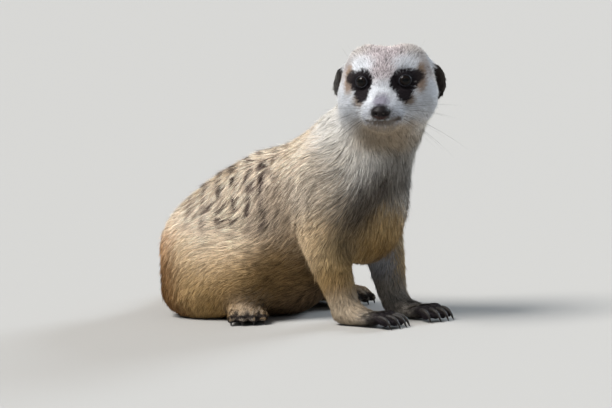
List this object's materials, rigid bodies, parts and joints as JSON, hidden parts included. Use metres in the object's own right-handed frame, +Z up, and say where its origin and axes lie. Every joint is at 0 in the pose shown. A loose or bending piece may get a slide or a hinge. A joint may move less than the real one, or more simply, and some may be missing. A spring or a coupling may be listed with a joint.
{
  "type": "meerkat",
  "caption": "Life-size meerkat sitting on its haunches with straight forelegs, head turned to its right, dark eye patches, banded back and long tail laid round to one side.",
  "frame": {"origin": "bottom centre of the whole model's box, on the floor that the animal sits on", "axes": "+Z up; the trunk faces -Y, so the animal's left side is +X and the head, turned to its right, looks towards -X"},
  "size_m": [0.188, 0.2456, 0.165],
  "materials": {
    "fur_pale": "short soft fur, white to pale grey",
    "fur_buff": "coarse fur, silvery buff with dark bands on the back",
    "fur_rust": "coarse fur, orange-brown with dark ticking",
    "fur_tan": "short fur, golden tan",
    "fur_dark": "very short black-brown fur",
    "nose_leather": "damp, finely pebbled",
    "horn": "dark satin horn",
    "eye": "wet and dark"
  },
  "bodies": {
    "root": {"head": "fur_pale", "neck": "fur_pale", "nose": "nose_leather", "eye_right": "eye", "eye_left": "eye", "ear_right": "fur_dark", "ear_left": "fur_dark", "trunk": "fur_buff", "foreleg_right": "fur_tan", "foreleg_left": "fur_tan", "forefoot_right": "fur_dark", "forefoot_left": "fur_dark", "haunch_right": "fur_rust", "haunch_left": "fur_rust", "hindfoot_right": "fur_tan", "hindfoot_left": "fur_tan", "tail_root": "fur_buff", "tail_middle": "fur_buff", "tail_end": "fur_buff", "tail_tip": "fur_dark", "foreclaw_right_1": "horn", "foreclaw_right_2": "horn", "foreclaw_right_3": "horn", "foreclaw_right_4": "horn", "foreclaw_left_1": "horn", "foreclaw_left_2": "horn", "foreclaw_left_3": "horn", "foreclaw_left_4": "horn", "hindclaw_right_1": "horn", "hindclaw_right_2": "horn", "hindclaw_right_3": "horn", "hindclaw_right_4": "horn", "hindclaw_left_1": "horn", "hindclaw_left_2": "horn", "hindclaw_left_3": "horn", "hindclaw_left_4": "horn"}
  },
  "joints": []
}
